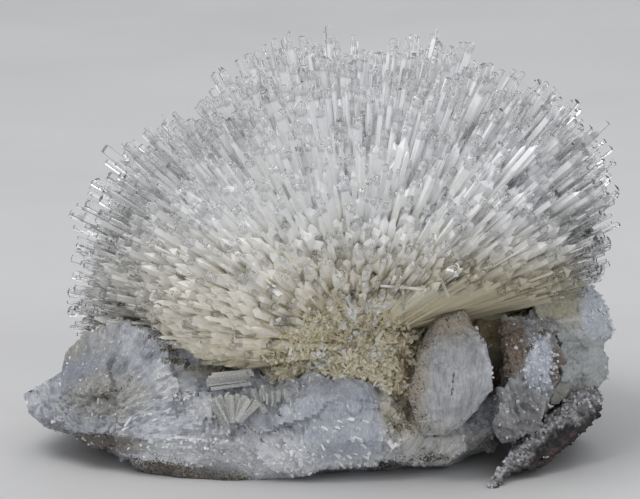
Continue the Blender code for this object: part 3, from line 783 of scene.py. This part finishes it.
    dirt = np.zeros(len(pts))
    patches = np.maximum(stroke(column, row, [(106, 316), (120, 318), (150, 328)], 8), stroke(column, row, [(146, 338), (162, 343), (178, 349)], 9))
    patches = np.maximum(patches, stroke(column, row, [(168, 360), (188, 361)], 6))
    dirt += (0.50 + 0.35 * ripple(pts * 0.6, 17)) * patches * front
    dirt += 0.42 * stroke(column, row, [(109, 396), (122, 386), (136, 375)], 2.6) * front
    dirt += 0.48 * stroke(column, row, [(111, 408), (123, 406), (133, 403)], 2.6) * front
    dirt += 0.24 * stroke(column, row, [(180, 356), (205, 366), (226, 380)], 8) * front
    speckled = np.maximum(blob(column, row, 104, 384, 22, 20), blob(column, row, 92, 350, 12, 26) * 0.7)
    dirt += 0.26 * speckled * front
    line = ripple(field(0.7, 9.0), 40) * lobe
    dirt += 0.30 * smooth(0.22, 0.5, line) * blob(column, row, 128, 392, 50, 30) * front
    dirt += 0.38 * blob(column, row, 408, 392, 25, 42) * front
    dirt += 0.38 * stroke(column, row, [(140, 464), (176, 476), (205, 480), (240, 482)], 17) * front
    dirt += 0.38 * stroke(column, row, [(372, 466), (410, 454), (440, 448)], 8) * front
    dirt += 0.30 * smooth(5.0, 1.0, pts[:, 2]) + 0.12 * smooth(8.0, 20.0, pts[:, 1]) + 0.34 * crust
    dirt += 0.22 * smooth(0.15, 0.45, layered(pts, 0.16, 51, 2))
    stone = mesh_object(
        "matrix_stone", out, faces, material, tint=np.clip(tint, 0, 1), smooth_shaded=True,
        grain=field(0.60, 6.0), dirt=dirt,
    )
    stone.data.set_sharp_from_angle(angle=math.radians(40))

    # sugary grains and bright splinters where the stone is whitest
    rng = np.random.default_rng(66)
    free = (pts[:, 2] > 1.0) & (dirt < 0.35)
    q = unit(pts - np.array(fan)) * lobe[:, None] + unit(pts - np.array(block)) * (1 - lobe)[:, None]
    pick = free & (rng.random(len(pts)) < 0.15 * sugar ** 2 * smooth(12.0, -8.0, pts[:, 1]) * (1 - 0.8 * smoother))
    grains = studs("matrix_grains", out[pick], nrm[pick], rng, sugar_material, (0.22, 0.58),
                   np.ones((pick.sum(), 1)) * linear(250, 251, 253), 0.8, tall=(0.45, 0.95), sink=0.6)
    pick = free & (rng.random(len(pts)) < (0.012 * sugar + 0.003) * smooth(10.0, -6.0, pts[:, 1]) * calm)
    splinters = studs("matrix_splinters", out[pick], nrm[pick], rng, sugar_material, (0.16, 0.42),
                      np.ones((pick.sum(), 1)) * linear(246, 248, 252), 0.05, (0.4, 1.0), (1.0, 2.4), along=unit(q[pick]), sink=0.55)
    # white flakes that lie on the block, sloping down to the right
    spots = (blob(column, row, 342, 436, 52, 22, 0.3) + 0.5 * blob(column, row, 262, 448, 50, 14, 0.3)) * front
    pick = free & (rng.random(len(pts)) < 0.04 * spots)
    slope = np.ones((pick.sum(), 1)) * np.array((1.0, 0.0, -0.75)) + rng.normal(0, 0.35, (pick.sum(), 3))
    flakes = studs("matrix_flakes", out[pick], nrm[pick], rng, sugar_material, (0.45, 0.85),
                   np.ones((pick.sum(), 1)) * linear(250, 251, 254), 0.2, (0.3, 0.6), (0.6, 1.15), along=slope, sink=0.45)
    return [stone, grains, splinters, flakes]


def build_sheaf(name, node, material, sugar_material, voxel, centre, look, splinters, seed, fine=(0.36, 3.5)):
    pts, faces, nrm = refined(node, voxel)
    column, row = to_front(pts)
    coarse, step, calm = splinters
    relief = splintered(along_fibres(pts, centre, coarse, coarse * 4), step * 1.6, step, seed)
    relief += splintered(along_fibres(pts, centre, coarse * 0.4, coarse * 1.8), step * 0.9, step * 0.4, seed + 1)
    relief += layered(pts, 0.8, seed + 2, 3) * 0.30 * calm + broken(pts, 4.0, 0.22 * calm, 0.03, seed)
    out = pts + nrm * relief[:, None]
    out[:, 2] = np.maximum(out[:, 2], 0.05)
    tint, dirt, sugar = look(pts, column, row)
    made = [mesh_object(
        name, out, faces, material, tint=np.clip(tint, 0, 1), smooth_shaded=True,
        grain=along_fibres(pts, centre, *fine), dirt=dirt,
    )]
    made[0].data.set_sharp_from_angle(angle=math.radians(40))
    rng = np.random.default_rng(seed * 17)
    pick = rng.random(len(pts)) < sugar * 0.10
    if pick.sum():
        made.append(studs(name + "_grains", out[pick], nrm[pick], rng, sugar_material, (0.2, 0.6),
                          np.ones((pick.sum(), 1)) * linear(238, 242, 248), 0.6))
    return made


def front_look(pts, column, row):
    """The egg-shaped sheaf: grey-blue and silky, with a brown serrated top and left side."""
    tint = np.ones((len(pts), 1)) * linear(196, 197, 200)
    tint = shade(tint, smooth(-0.3, 0.4, layered(pts, 0.3, 61, 3)), linear(212, 213, 215), 0.7)
    # painted highlight: a pale stroke down the egg's right edge
    tint = shade(tint, stroke(column, row, [(470, 330), (484, 352), (488, 384), (470, 420)], 6), linear(226, 229, 234), 0.8)
    tint = shade(tint, blob(column, row, 446, 432, 40, 16, 0.9), linear(212, 208, 192), 0.45)
    skin = np.maximum(smooth(352.0, 322.0, row + 0.25 * np.maximum(column - 452, 0)), smooth(432.0, 416.0, column + 0.10 * (row - 380)))
    tint = shade(tint, skin * (0.75 + 0.5 * ripple(pts * 0.7, 38)), linear(196, 178, 148), 0.75)
    dirt = 0.38 * smooth(362.0, 312.0, row + 0.10 * np.abs(column - 450)) ** 1.5 + 0.42 * smooth(440.0, 412.0, column + 0.12 * (row - 380) + 5 * ripple(pts * 0.5, 37))
    dirt += 0.25 * smooth(0.2, 0.5, ripple(along_fibres(pts, from_front(440, 500, -30.0), 0.8, 6.0), 33))
    dirt += 0.42 * stroke(column, row, [(470, 318), (482, 340)], 6) + 0.24 * blob(column, row, 436, 424, 30, 16, 0.8)
    dirt += 0.8 * stroke(column, row, [(450, 370), (449, 380), (448, 390)], 1.6)
    sugar = 0.07 * stroke(column, row, [(456, 312), (474, 330), (486, 352), (489, 384)], 6)
    return tint, dirt, sugar


def right_look(pts, column, row):
    """The smaller sheaf: pinkish brown on its left, a bright triangle, grey lumps below."""
    tint = np.ones((len(pts), 1)) * linear(158, 157, 158)
    bright = blob(column, row, 536, 362, 16, 26, 0.3)
    tint = shade(tint, smooth(-0.2, 0.4, layered(pts, 0.35, 71, 3)), linear(212, 212, 210), 0.7)
    tint = shade(tint, bright, linear(232, 237, 247))
    tint = shade(tint, stroke(column, row, [(500, 318), (515, 313), (530, 316)], 7), linear(222, 222, 224), 0.8)
    tint = shade(tint, blob(column, row, 508, 346, 14, 26, 0.3), linear(148, 128, 110), 0.9)
    tint = shade(tint, stroke(column, row, [(553, 350), (556, 364), (552, 376)], 6), linear(138, 116, 96), 0.8)
    dirt = 0.44 * blob(column, row, 510, 346, 17, 30, 0.3) + 0.45 * blob(column, row, 538, 326, 8, 8)
    dirt += 0.42 * stroke(column, row, [(497, 328), (500, 350), (506, 374)], 5) + 0.45 * stroke(column, row, [(524, 348), (534, 334), (546, 332)], 4)
    dirt += 0.15 * smooth(385.0, 410.0, row)
    return tint, dirt, 0.9 * bright + 0.25 * smooth(322.0, 314.0, row) + 0.06


def outer_look(pts, column, row):
    """The outer sheaf: a beige block of level fibres above, pale greenish white below."""
    tint = np.ones((len(pts), 1)) * linear(216, 219, 218)
    tint = shade(tint, smooth(-0.2, 0.4, layered(pts, 0.3, 81, 3)), linear(198, 202, 200), 0.8)
    upper = smooth(330.0, 318.0, row - 0.06 * (column - 560)) * smooth(600.0, 570.0, column)
    tint = shade(tint, upper, linear(200, 194, 168), 0.9)
    flare = blob(column, row, 596, 312, 18, 26, 0.4)
    tint = shade(tint, flare, linear(228, 233, 243), 0.9)
    tint = shade(tint, stroke(column, row, [(548, 322), (575, 318), (600, 312)], 2.5), linear(240, 242, 246), 0.7)
    tint = shade(tint, smooth(378.0, 392.0, row), linear(176, 172, 156), 0.7)
    dirt = 0.30 * blob(column, row, 566, 350, 14, 22) + 0.34 * stroke(column, row, [(572, 392), (584, 376)], 6)
    dirt += 0.30 * stroke(column, row, [(526, 288), (526, 304)], 5) + 0.25 * blob(column, row, 545, 300, 14, 8)
    return tint, dirt, 0.35 * flare + 0.25 * smooth(600.0, 610.0, column)


def build_rock(material, sugar):
    pts, faces, nrm = refined("host_rock", 0.33)
    move = layered(pts, 0.55, 91, 4) * 0.7 + broken(pts, 2.2, 0.28, 0.08, 9)
    out = pts + nrm * move[:, None]
    out[:, 2] = np.maximum(out[:, 2], 0.05)
    column, row = to_front(pts)
    line = np.interp(column, (480, 505, 545, 580, 600), (483, 456, 420, 402, 390))
    down = row - line + layered(pts, 0.4, 95, 3) * 10  # pixels below the crust's upper edge
    dark, pale, pink = linear(54, 52, 53), linear(164, 164, 166), linear(88, 70, 69)
    tint = pale + (dark - pale) * smooth(6.0, 20.0, down)[:, None]
    tint = shade(tint, smooth(24.0, 34.0, down) * smooth(500.0, 520.0, column), pink, 0.85)
    back = smooth(-6.0, 4.0, pts[:, 1])
    tint = shade(tint, back, dark * 0.9)
    made = [mesh_object("host_rock_surface", out, faces, material, tint=np.clip(tint, 0, 1), smooth_shaded=True)]
    rng = np.random.default_rng(31)
    pick = rng.random(len(pts)) < 0.16 * smooth(14.0, 0.0, down) * (1 - back) + 0.006
    n = pick.sum()
    colours = np.where(rng.random((n, 1)) < 0.7, linear(216, 218, 222), linear(112, 104, 101))
    made.append(studs("host_rock_grains", out[pick], nrm[pick], rng, sugar, (0.25, 0.65), colours, 0.6, tall=(0.45, 0.8), sink=0.6))
    return made


# ---------------------------------------------------------------- small crystals


def build_druse(cream):
    pts, faces, nrm = refined("druse", 0.36)
    column, row = to_front(pts)
    out = pts + nrm * (layered(pts, 0.9, 6, 3) * 0.5 + broken(pts, 1.5, 0.5, 0.14, 12) - 0.1)[:, None]
    brown = smooth(384.0, 400.0, column + 4 * ripple(pts * 0.7, 3)) * smooth(-4.0, -10.0, pts[:, 1])
    warm = smooth(-0.3, 0.4, layered(pts, 0.25, 15, 2))
    tint = shade(np.ones((len(pts), 1)) * linear(248, 243, 224), warm, linear(236, 226, 192), 0.8)
    tint = shade(tint, brown, linear(212, 198, 170), 0.8)
    made = [mesh_object("druse_bed", out, faces, cream, tint=tint)]
    rng = np.random.default_rng(404)
    seen = smooth(2.0, -6.0, pts[:, 1]) * 0.97 + 0.03
    pick = rng.random(len(pts)) < 0.42 * seen
    n = pick.sum()
    roll = rng.random(n)
    clump = smooth(0.15, 0.5, layered(pts[pick], 0.35, 25, 2))
    colours = shade(np.ones((n, 1)) * linear(250, 247, 234), rng.random(n), linear(240, 231, 202), 0.9)
    colours = np.where((roll < 0.05 + 0.40 * clump)[:, None], linear(252, 252, 248), colours)
    stained = rng.random(n) < brown[pick] * 0.36
    colours = np.where(stained[:, None], linear(176, 158, 128) * rng.uniform(0.45, 1.5, (n, 1)), colours)
    made.append(studs("druse_crystals", out[pick], nrm[pick], rng, cream, (0.22, 0.85), colours, 0.75,
                      slim=(0.22, 0.8), tall=(0.5, 1.9), sink=0.35))
    # the star-like clusters of white flakes
    picked = []
    for cx, cy, across, many in ((318, 354, 12, 40), (328, 348, 8, 16), (375, 351, 7, 20), (360, 308, 7, 16), (345, 321, 9, 20), (352, 334, 8, 14), (332, 318, 8, 14), (300, 352, 6, 10)):
        near = np.flatnonzero((np.hypot(column - cx, row - cy) < across) & (pts[:, 1] < -8.0))
        if len(near):
            picked.append(rng.choice(near, min(many, len(near)), replace=False))
    k = np.concatenate(picked)
    made.append(studs("druse_flakes", out[k], nrm[k], rng, cream, (0.45, 1.0), np.ones((len(k), 1)) * linear(253, 252, 251), 0.8,
                      slim=(0.25, 0.6), tall=(0.8, 1.6), sink=0.12))
    return made


def build_root_crystals(covered, bed, cream):
    """Small cream crystals and white flakes grown over the needles' roots above the druse."""
    def tree_of(piece):
        mesh = piece.data
        return BVHTree.FromPolygons([v.co[:] for v in mesh.vertices], [f.vertices[:] for f in mesh.polygons])

    trees, hidden = [tree_of(piece) for piece in covered], tree_of(bed)
    tilt = math.radians(FRONT_TILT)
    away = Vector((0.0, math.cos(tilt), -math.sin(tilt)))
    rng = np.random.default_rng(818)
    places = []
    for k in range(3600):
        column, row, roll = rng.uniform(262, 408), rng.uniform(292, 360), rng.random()
        over = row - np.interp(column, (262, 285, 310, 345, 385, 405), (362, 330, 308, 298, 300, 318))
        if over > 0 and roll < 0.12 + 0.70 * min(over / 26.0, 1.0):
            places.append((column, row, 0))
    for cx, cy, across, many in ((365, 306, 6, 12), (382, 301, 3, 6), (349, 307, 5, 9), (448, 273, 3, 6), (271, 284, 3, 5),
                                 (319, 352, 9, 14), (342, 316, 6, 9), (276, 322, 6, 7), (356, 318, 8, 8)):
        places += [(cx + rng.normal(0, across * 0.5), cy + rng.normal(0, across * 0.5), 1) for k in range(many)]
    at, flake = [], []
    for column, row, kind in places:
        start = (from_front(column, row, -60.0) - CENTRE) * MM
        hits = [h for h in (tree.ray_cast(start, away) for tree in trees) if h[0] is not None]
        cover = hidden.ray_cast(start, away)
        if not hits:
            continue
        hit = min(hits, key=lambda h: h[3])
        if cover[0] is not None and cover[3] < hit[3]:
            continue
        at.append(np.array(hit[0]) / MM + np.array(CENTRE))
        flake.append(kind)
    at, flake = np.array(at), np.array(flake)
    normal = np.ones((len(at), 1)) * -np.array(away)
    made = []
    small, white = flake == 0, flake == 1
    colours = shade(np.ones((small.sum(), 1)) * linear(246, 241, 222), rng.random(small.sum()), linear(234, 223, 190), 0.9)
    colours = np.where(rng.random((small.sum(), 1)) < 0.15, linear(252, 252, 248), colours)
    made.append(studs("root_crystals", at[small], normal[small], rng, cream, (0.22, 0.75), colours, 0.8,
                      slim=(0.3, 0.9), tall=(0.5, 1.6), sink=0.35))
    made.append(studs("root_flakes", at[white], normal[white], rng, cream, (0.5, 1.1),
                      np.ones((white.sum(), 1)) * linear(253, 252, 251), 0.8, slim=(0.25, 0.6), tall=(0.8, 1.6), sink=0.15))
    print("root crystals", small.sum(), white.sum())
    return made


def build_blades(cream):
    """The bundle of level needles and the stubby glassy blades left of the druse."""
    rng = np.random.default_rng(515)
    starts, ends, widths = [], [], []
    for k in range(9):  # the level bundle
        row = 370 + k * 1.5
        starts.append(from_front(rng.uniform(208, 218), row + 3.5 + rng.uniform(-1, 1), -27.4 + rng.uniform(-0.6, 0.6)))
        ends.append(from_front(rng.uniform(248, 256), row - 1.5 + rng.uniform(-1, 1), -26.6 + rng.uniform(-0.5, 0.5)))
        widths.append(rng.uniform(0.5, 0.95))
    for k in range(26):  # the rounded fan of glassy blades below it
        t = k / 25
        lean = -0.62 + 1.35 * t + rng.normal(0, 0.05)
        foot = from_front(228 + 14 * t + rng.uniform(-1, 1), 420 - 4 * t, -28.6 + rng.uniform(-0.8, 0.8))
        starts.append(foot)
        ends.append(foot + Vector((math.sin(lean), rng.uniform(-0.12, 0.12), math.cos(lean))) * rng.uniform(4.2, 5.2))
        widths.append(rng.uniform(0.6, 1.1))
    for k in range(4):  # the blocky crystal right of the fan
        starts.append(from_front(266 - k * 1.2, 408, -28.0 + 0.3 * k))
        ends.append(from_front(253.5 + k * 2.0, 385.5 + k * 1.2, -27.6 + 0.3 * k))
        widths.append(1.25)
    for k in range(14):  # short blades that rise from the plate's edge to the druse
        foot = from_front(rng.uniform(262, 292), rng.uniform(396, 404), -27.5 + rng.uniform(-1, 1))
        lean = rng.normal(0.1, 0.35)
        starts.append(foot)
        ends.append(foot + Vector((math.sin(lean), rng.uniform(-0.3, 0.3), math.cos(lean))) * rng.uniform(1.4, 3.0))
        widths.append(rng.uniform(0.4, 0.9))
    n = len(starts)
    w = np.array(widths)
    pts, faces = rods(np.array(starts), np.array(ends), w, w * rng.uniform(0.4, 0.9, n), rng.uniform(0, 3, n), 0.14,
                      w * 0.3, rng.normal(0, 0.2, (n, 2)), np.ones(n) * 0.9)
    tint = np.repeat((linear(236, 236, 233) * rng.uniform(0.84, 1.06, (n, 1)))[:, None], pts.shape[1], 1)
    return mesh_object("glassy_blades", pts.reshape(-1, 3), faces, cream, tint=np.clip(tint, 0, 1).reshape(-1, 3))


# ---------------------------------------------------------------- assembling


def loose_crystal():
    """The loose needles: clear, with a whitish core that catches the light."""
    s = Shader("loose_natrolite")
    s.plain(rough=0.12, ior=1.48, clear=0.45)
    where = s.where()
    s.set("Base Color", s.ramp(s.noise(where, 1.2, 4.0), (0.3, tuple(linear(226, 222, 206))), (0.7, tuple(linear(250, 250, 246)))))
    s.set("Roughness", s.ramp(s.noise(where, 2.0, 3.0), (0.3, (0.06,) * 3), (0.7, (0.25,) * 3)))
    s.set("Normal", s.bump(s.noise(where, 3.0, 3.0), 0.3, 0.00008))
    return s.material


def build_object():
    clear, milky = clear_crystal(), milky_crystal()
    cream, sugar = cream_crystal(), cream_crystal("sugary_crystal", 0.20, ((0.90, 0.91, 0.93), (1.0, 1.0, 1.0)))
    blade = cream_crystal("glassy_blade", 0.52, ((0.90, 0.91, 0.92), (1.0, 1.0, 1.0)))
    pieces = {
        "natrolite_spray": build_spray(clear, milky) + [build_heart(milky)],
        "matrix": build_matrix(fibrous_zeolite("matrix_zeolite"), sugar),
        "front_sheaf": build_sheaf(
            "front_sheaf_stone", "front_sheaf",
            fibrous_zeolite("front_sheaf_fibres", 0.10, (0.16, 0.34), (0.66, 1.0), 0.9, 0.70), sugar, 0.27,
            from_front(440, 500, -30.0), front_look, (1.2, 0.09, 0.20), 2, (0.50, 12.0)),
        "right_sheaf": build_sheaf(
            "right_sheaf_stone", "right_sheaf", fibrous_zeolite("right_sheaf_fibres", 0.06, (0.3, 0.6)), sugar, 0.27,
            from_front(528, 520, -24.0), right_look, (1.8, 0.28, 1.0), 3, (0.55, 4.0)),
        "outer_sheaf": build_sheaf(
            "outer_sheaf_stone", "outer_sheaf",
            fibrous_zeolite("outer_sheaf_fibres", 0.10, (0.18, 0.4), (0.76, 1.0), 0.8, 0.66), sugar, 0.28,
            from_front(400, 335, -4.0), outer_look, (1.7, 0.15, 0.30), 4, (0.46, 14.0)),
        "host_rock": build_rock(rock_material(), sugar),
        "druse": build_druse(cream),
    }
    for node, group in pieces.items():
        for piece in group:
            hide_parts(node)
            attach(piece, "root")
    bodies = [piece for piece in pieces["natrolite_spray"] if piece.name.startswith("needle_bodies")]
    for piece in [build_blades(blade)] + build_root_crystals(bodies, pieces["druse"][0], cream):
        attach(piece, "root")
    glass = loose_crystal()
    for name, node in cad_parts.items():
        if name.startswith("loose_needle"):
            node.data.materials.clear()
            node.data.materials.append(glass)


def build_floor():
    """A wide pale floor that the object is seen on from every side."""
    s = Shader("pale_floor")
    where = s.where()
    s.set("Base Color", s.ramp(s.noise(where, 0.02, 3.0), (0.3, (0.50, 0.50, 0.505)), (0.7, (0.53, 0.53, 0.535))))
    s.plain(rough=0.65, gloss=0.3)
    verts, faces = [], []
    steps = [-5.0, -2.5, -1.0, -0.4, 0.0, 0.4, 1.0, 2.5, 5.0]
    for y in steps:
        verts += [(x, y, 0.0) for x in steps]
    n = len(steps)
    for j in range(n - 1):
        for i in range(n - 1):
            faces.append((j * n + i, j * n + i + 1, (j + 1) * n + i + 1, (j + 1) * n + i))
    mesh = bpy.data.meshes.new("floor")
    mesh.from_pydata(verts, [], faces)
    mesh.materials.append(s.material)
    mesh.shade_smooth()
    floor = bpy.data.objects.new("floor", mesh)
    bpy.context.scene.collection.objects.link(floor)


def area_light(name, at, look, size, power, colour=(1, 1, 1)):
    light = bpy.data.lights.new(name, "AREA")
    light.shape = "RECTANGLE"
    light.size, light.size_y = size
    light.energy = power
    light.color = colour
    obj = bpy.data.objects.new(name, light)
    bpy.context.scene.collection.objects.link(obj)
    obj.location = at
    obj.rotation_euler = (Vector(look) - Vector(at)).to_track_quat("-Z", "Y").to_euler()


def build_studio():
    scene = bpy.context.scene
    world = bpy.data.worlds.new("studio")
    world.use_nodes = True
    tree = world.node_tree
    back = tree.nodes["Background"]
    # a soft sky: bright above and to the left, dimmer towards the floor and the back
    coords = tree.nodes.new("ShaderNodeTexCoord")
    towards = tree.nodes.new("ShaderNodeVectorMath")
    towards.operation = "DOT_PRODUCT"
    towards.inputs[1].default_value = (-0.42, -0.38, 0.82)
    tree.links.new(coords.outputs["Generated"], towards.inputs[0])
    spread = tree.nodes.new("ShaderNodeMapRange")
    spread.interpolation_type = "SMOOTHSTEP"
    spread.inputs["From Min"].default_value = -0.5
    spread.inputs["From Max"].default_value = 1.0
    tree.links.new(towards.outputs["Value"], spread.inputs["Value"])
    sky = tree.nodes.new("ShaderNodeValToRGB")
    sky.color_ramp.elements[0].color = (0.16, 0.165, 0.175, 1.0)
    sky.color_ramp.elements[1].color = (0.99, 1.0, 1.02, 1.0)
    tree.links.new(spread.outputs["Result"], sky.inputs["Fac"])
    tree.links.new(sky.outputs["Color"], back.inputs["Color"])
    back.inputs["Strength"].default_value = 0.86
    scene.world = world
    area_light("key", (-0.30, -0.22, 0.70), (0, 0, 0.03), (0.45, 0.35), 2.55, (1.0, 0.99, 0.97))
    area_light("fill", (0.55, -0.5, 0.35), (0, 0, 0.03), (0.3, 0.4), 0.7, (0.96, 0.98, 1.0))
    area_light("rim", (0.2, 0.42, 0.5), (0, 0, 0.04), (0.5, 0.25), 0.8, (1.0, 1.0, 1.0))

    lens = 300.0
    distance = 640 * FRONT_UNIT * lens / 36.0 * MM
    tilt = math.radians(FRONT_TILT)
    middle = (from_front(320, 249.5, ROOT.y) - CENTRE) * MM
    data = bpy.data.cameras.new("camera")
    data.lens = lens
    data.sensor_width = 36.0
    data.clip_start, data.clip_end = 0.05, 20.0
    camera = bpy.data.objects.new("camera", data)
    scene.collection.objects.link(camera)
    camera.location = middle + Vector((0, -math.cos(tilt), math.sin(tilt))) * distance
    camera.rotation_euler = (math.radians(90 - FRONT_TILT), 0, 0)
    scene.camera = camera

    scene.cycles.max_bounces = 28
    scene.cycles.diffuse_bounces = 12
    scene.cycles.glossy_bounces = 6
    scene.cycles.transmission_bounces = 24
    scene.cycles.transparent_max_bounces = 8
    scene.view_settings.view_transform = "Standard"
    scene.view_settings.look = "None"


build_object()
build_floor()
build_studio()
